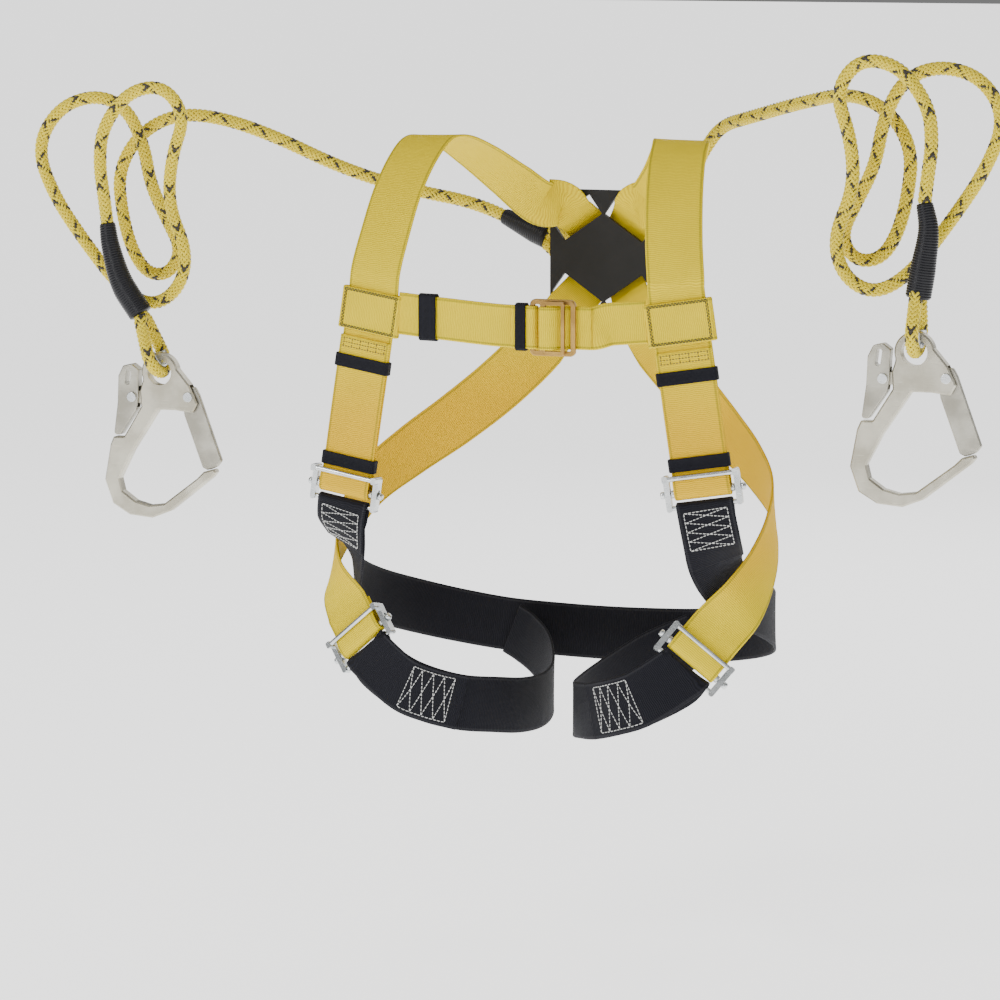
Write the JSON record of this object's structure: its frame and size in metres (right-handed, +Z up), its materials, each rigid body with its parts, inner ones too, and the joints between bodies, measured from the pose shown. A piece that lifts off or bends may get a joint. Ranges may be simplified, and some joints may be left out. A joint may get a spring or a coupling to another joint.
{
  "type": "full-body safety harness",
  "caption": "Full-body fall-arrest harness in yellow and black webbing, with adjusters, a dorsal D-ring and rope lanyards ending in scaffold hooks.",
  "frame": {"origin": "base of the wearer's neck, level with the crests of the shoulder straps, where the shoulders carry the harness", "axes": "+Z up, the wearer faces -Y, +X to the wearer's left"},
  "size_m": [0.9347, 0.327, 0.6215],
  "materials": {
    "yellow_webbing": "woven polyester webbing, semi-matt",
    "black_webbing": "woven polyester webbing",
    "elastic": "woven elastic",
    "gold_finish": "yellow passivated steel",
    "black_plastic": "moulded",
    "zinc": "zinc plated",
    "rope": "braided polyamide with dark tracers",
    "sleeve": "whipped heat-shrink",
    "hook_zinc": "pale zinc plated forging"
  },
  "bodies": {
    "root": {"main_webbing_left": "yellow_webbing", "leg_strap_left": "black_webbing", "torso_adjuster_frame_left": "zinc", "leg_adjuster_frame_left": "zinc", "rope_left": "rope", "hook_eye_left": "rope", "hook_thimble_left": "black_plastic", "hook_sleeve_left": "sleeve", "main_webbing_right": "yellow_webbing", "leg_strap_right": "black_webbing", "torso_adjuster_frame_right": "zinc", "leg_adjuster_frame_right": "zinc", "rope_right": "rope", "hook_eye_right": "rope", "hook_thimble_right": "black_plastic", "hook_sleeve_right": "sleeve", "seat_strap": "black_webbing", "dorsal_plate": "black_plastic"},
    "chest_band": {"chest_strap_left": "yellow_webbing", "chest_strap_right": "yellow_webbing", "chest_keeper_outer": "elastic", "chest_keeper_inner": "elastic", "chest_buckle_frame": "gold_finish"},
    "chest_tongue": {"chest_buckle_tongue": "gold_finish"},
    "d_ring": {"d_ring": "zinc", "ring_eye_left": "rope", "ring_thimble_left": "black_plastic", "ring_sleeve_left": "sleeve", "ring_eye_right": "rope", "ring_thimble_right": "black_plastic", "ring_sleeve_right": "sleeve"},
    "upper_keeper_left": {"upper_keeper_left": "elastic"},
    "lower_keeper_left": {"lower_keeper_left": "elastic"},
    "torso_slide_bar_left": {"torso_slide_bar_left": "zinc"},
    "leg_slide_bar_left": {"leg_slide_bar_left": "zinc"},
    "hook_left": {"hook_body_left": "hook_zinc", "hook_rivets_left": "hook_zinc", "hook_gate_spring_left": "hook_zinc"},
    "hook_gate_left": {"hook_gate_left": "hook_zinc"},
    "hook_lever_left": {"hook_lever_left": "hook_zinc"},
    "upper_keeper_right": {"upper_keeper_right": "elastic"},
    "lower_keeper_right": {"lower_keeper_right": "elastic"},
    "torso_slide_bar_right": {"torso_slide_bar_right": "zinc"},
    "leg_slide_bar_right": {"leg_slide_bar_right": "zinc"},
    "hook_right": {"hook_body_right": "hook_zinc", "hook_rivets_right": "hook_zinc", "hook_gate_spring_right": "hook_zinc"},
    "hook_gate_right": {"hook_gate_right": "hook_zinc"},
    "hook_lever_right": {"hook_lever_right": "hook_zinc"}
  },
  "joints": [
    {"name": "chest_strap_height", "type": "slide", "parent": "root", "child": "chest_band", "axis": [0, 0, 1], "range_m": [0, 0.01]},
    {"name": "chest_tongue_tilt", "type": "hinge", "parent": "chest_band", "child": "chest_tongue", "pos_m": [0.03, -0.1275, -0.159], "axis": [0, 0, -1], "range_deg": [0, 22]},
    {"name": "d_ring_swing", "type": "hinge", "parent": "root", "child": "d_ring", "pos_m": [0, 0.131, -0.118], "axis": [1, 0, 0], "range_deg": [-12, 12], "deforming": ["rope_left", "rope_right"]},
    {"name": "upper_keeper_slide_left", "type": "slide", "parent": "root", "child": "upper_keeper_left", "axis": [-0.1493, 0, 0.9888], "range_m": [-0.03, 0.004]},
    {"name": "lower_keeper_slide_left", "type": "slide", "parent": "root", "child": "lower_keeper_left", "axis": [-0.1493, 0, 0.9888], "range_m": [0, 0.015]},
    {"name": "torso_bar_slide_left", "type": "slide", "parent": "root", "child": "torso_slide_bar_left", "axis": [-0.1493, 0, 0.9888], "range_m": [0, 0.004]},
    {"name": "leg_bar_slide_left", "type": "slide", "parent": "root", "child": "leg_slide_bar_left", "axis": [0.5623, 0.3414, 0.7531], "range_m": [0, 0.004]},
    {"name": "hook_swing_left", "type": "hinge", "parent": "root", "child": "hook_left", "pos_m": [0.34, -0.031, -0.178], "axis": [0, 1, 0], "range_deg": [-30, 30]},
    {"name": "gate_open_left", "type": "hinge", "parent": "hook_left", "child": "hook_gate_left", "pos_m": [0.369, -0.031, -0.2], "axis": [0, 1, 0], "range_deg": [0, 28], "stiffness_Nm_per_rad": 0.05, "springref_deg": -20.05},
    {"name": "lever_press_left", "type": "hinge", "parent": "hook_left", "child": "hook_lever_left", "pos_m": [0.312, -0.031, -0.202], "axis": [0, -1, 0], "range_deg": [0, 5], "stiffness_Nm_per_rad": 0.05, "springref_deg": -20.05},
    {"name": "upper_keeper_slide_right", "type": "slide", "parent": "root", "child": "upper_keeper_right", "axis": [0.1493, 0, 0.9888], "range_m": [-0.03, 0.004]},
    {"name": "lower_keeper_slide_right", "type": "slide", "parent": "root", "child": "lower_keeper_right", "axis": [0.1493, 0, 0.9888], "range_m": [0, 0.015]},
    {"name": "torso_bar_slide_right", "type": "slide", "parent": "root", "child": "torso_slide_bar_right", "axis": [0.1493, 0, 0.9888], "range_m": [0, 0.004]},
    {"name": "leg_bar_slide_right", "type": "slide", "parent": "root", "child": "leg_slide_bar_right", "axis": [-0.5623, 0.3414, 0.7531], "range_m": [0, 0.004]},
    {"name": "hook_swing_right", "type": "hinge", "parent": "root", "child": "hook_right", "pos_m": [-0.381, -0.031, -0.223], "axis": [0, 1, 0], "range_deg": [-30, 30]},
    {"name": "gate_open_right", "type": "hinge", "parent": "hook_right", "child": "hook_gate_right", "pos_m": [-0.352, -0.031, -0.245], "axis": [0, 1, 0], "range_deg": [0, 28], "stiffness_Nm_per_rad": 0.05, "springref_deg": -20.05},
    {"name": "lever_press_right", "type": "hinge", "parent": "hook_right", "child": "hook_lever_right", "pos_m": [-0.409, -0.031, -0.247], "axis": [0, -1, 0], "range_deg": [0, 5], "stiffness_Nm_per_rad": 0.05, "springref_deg": -20.05}
  ]
}
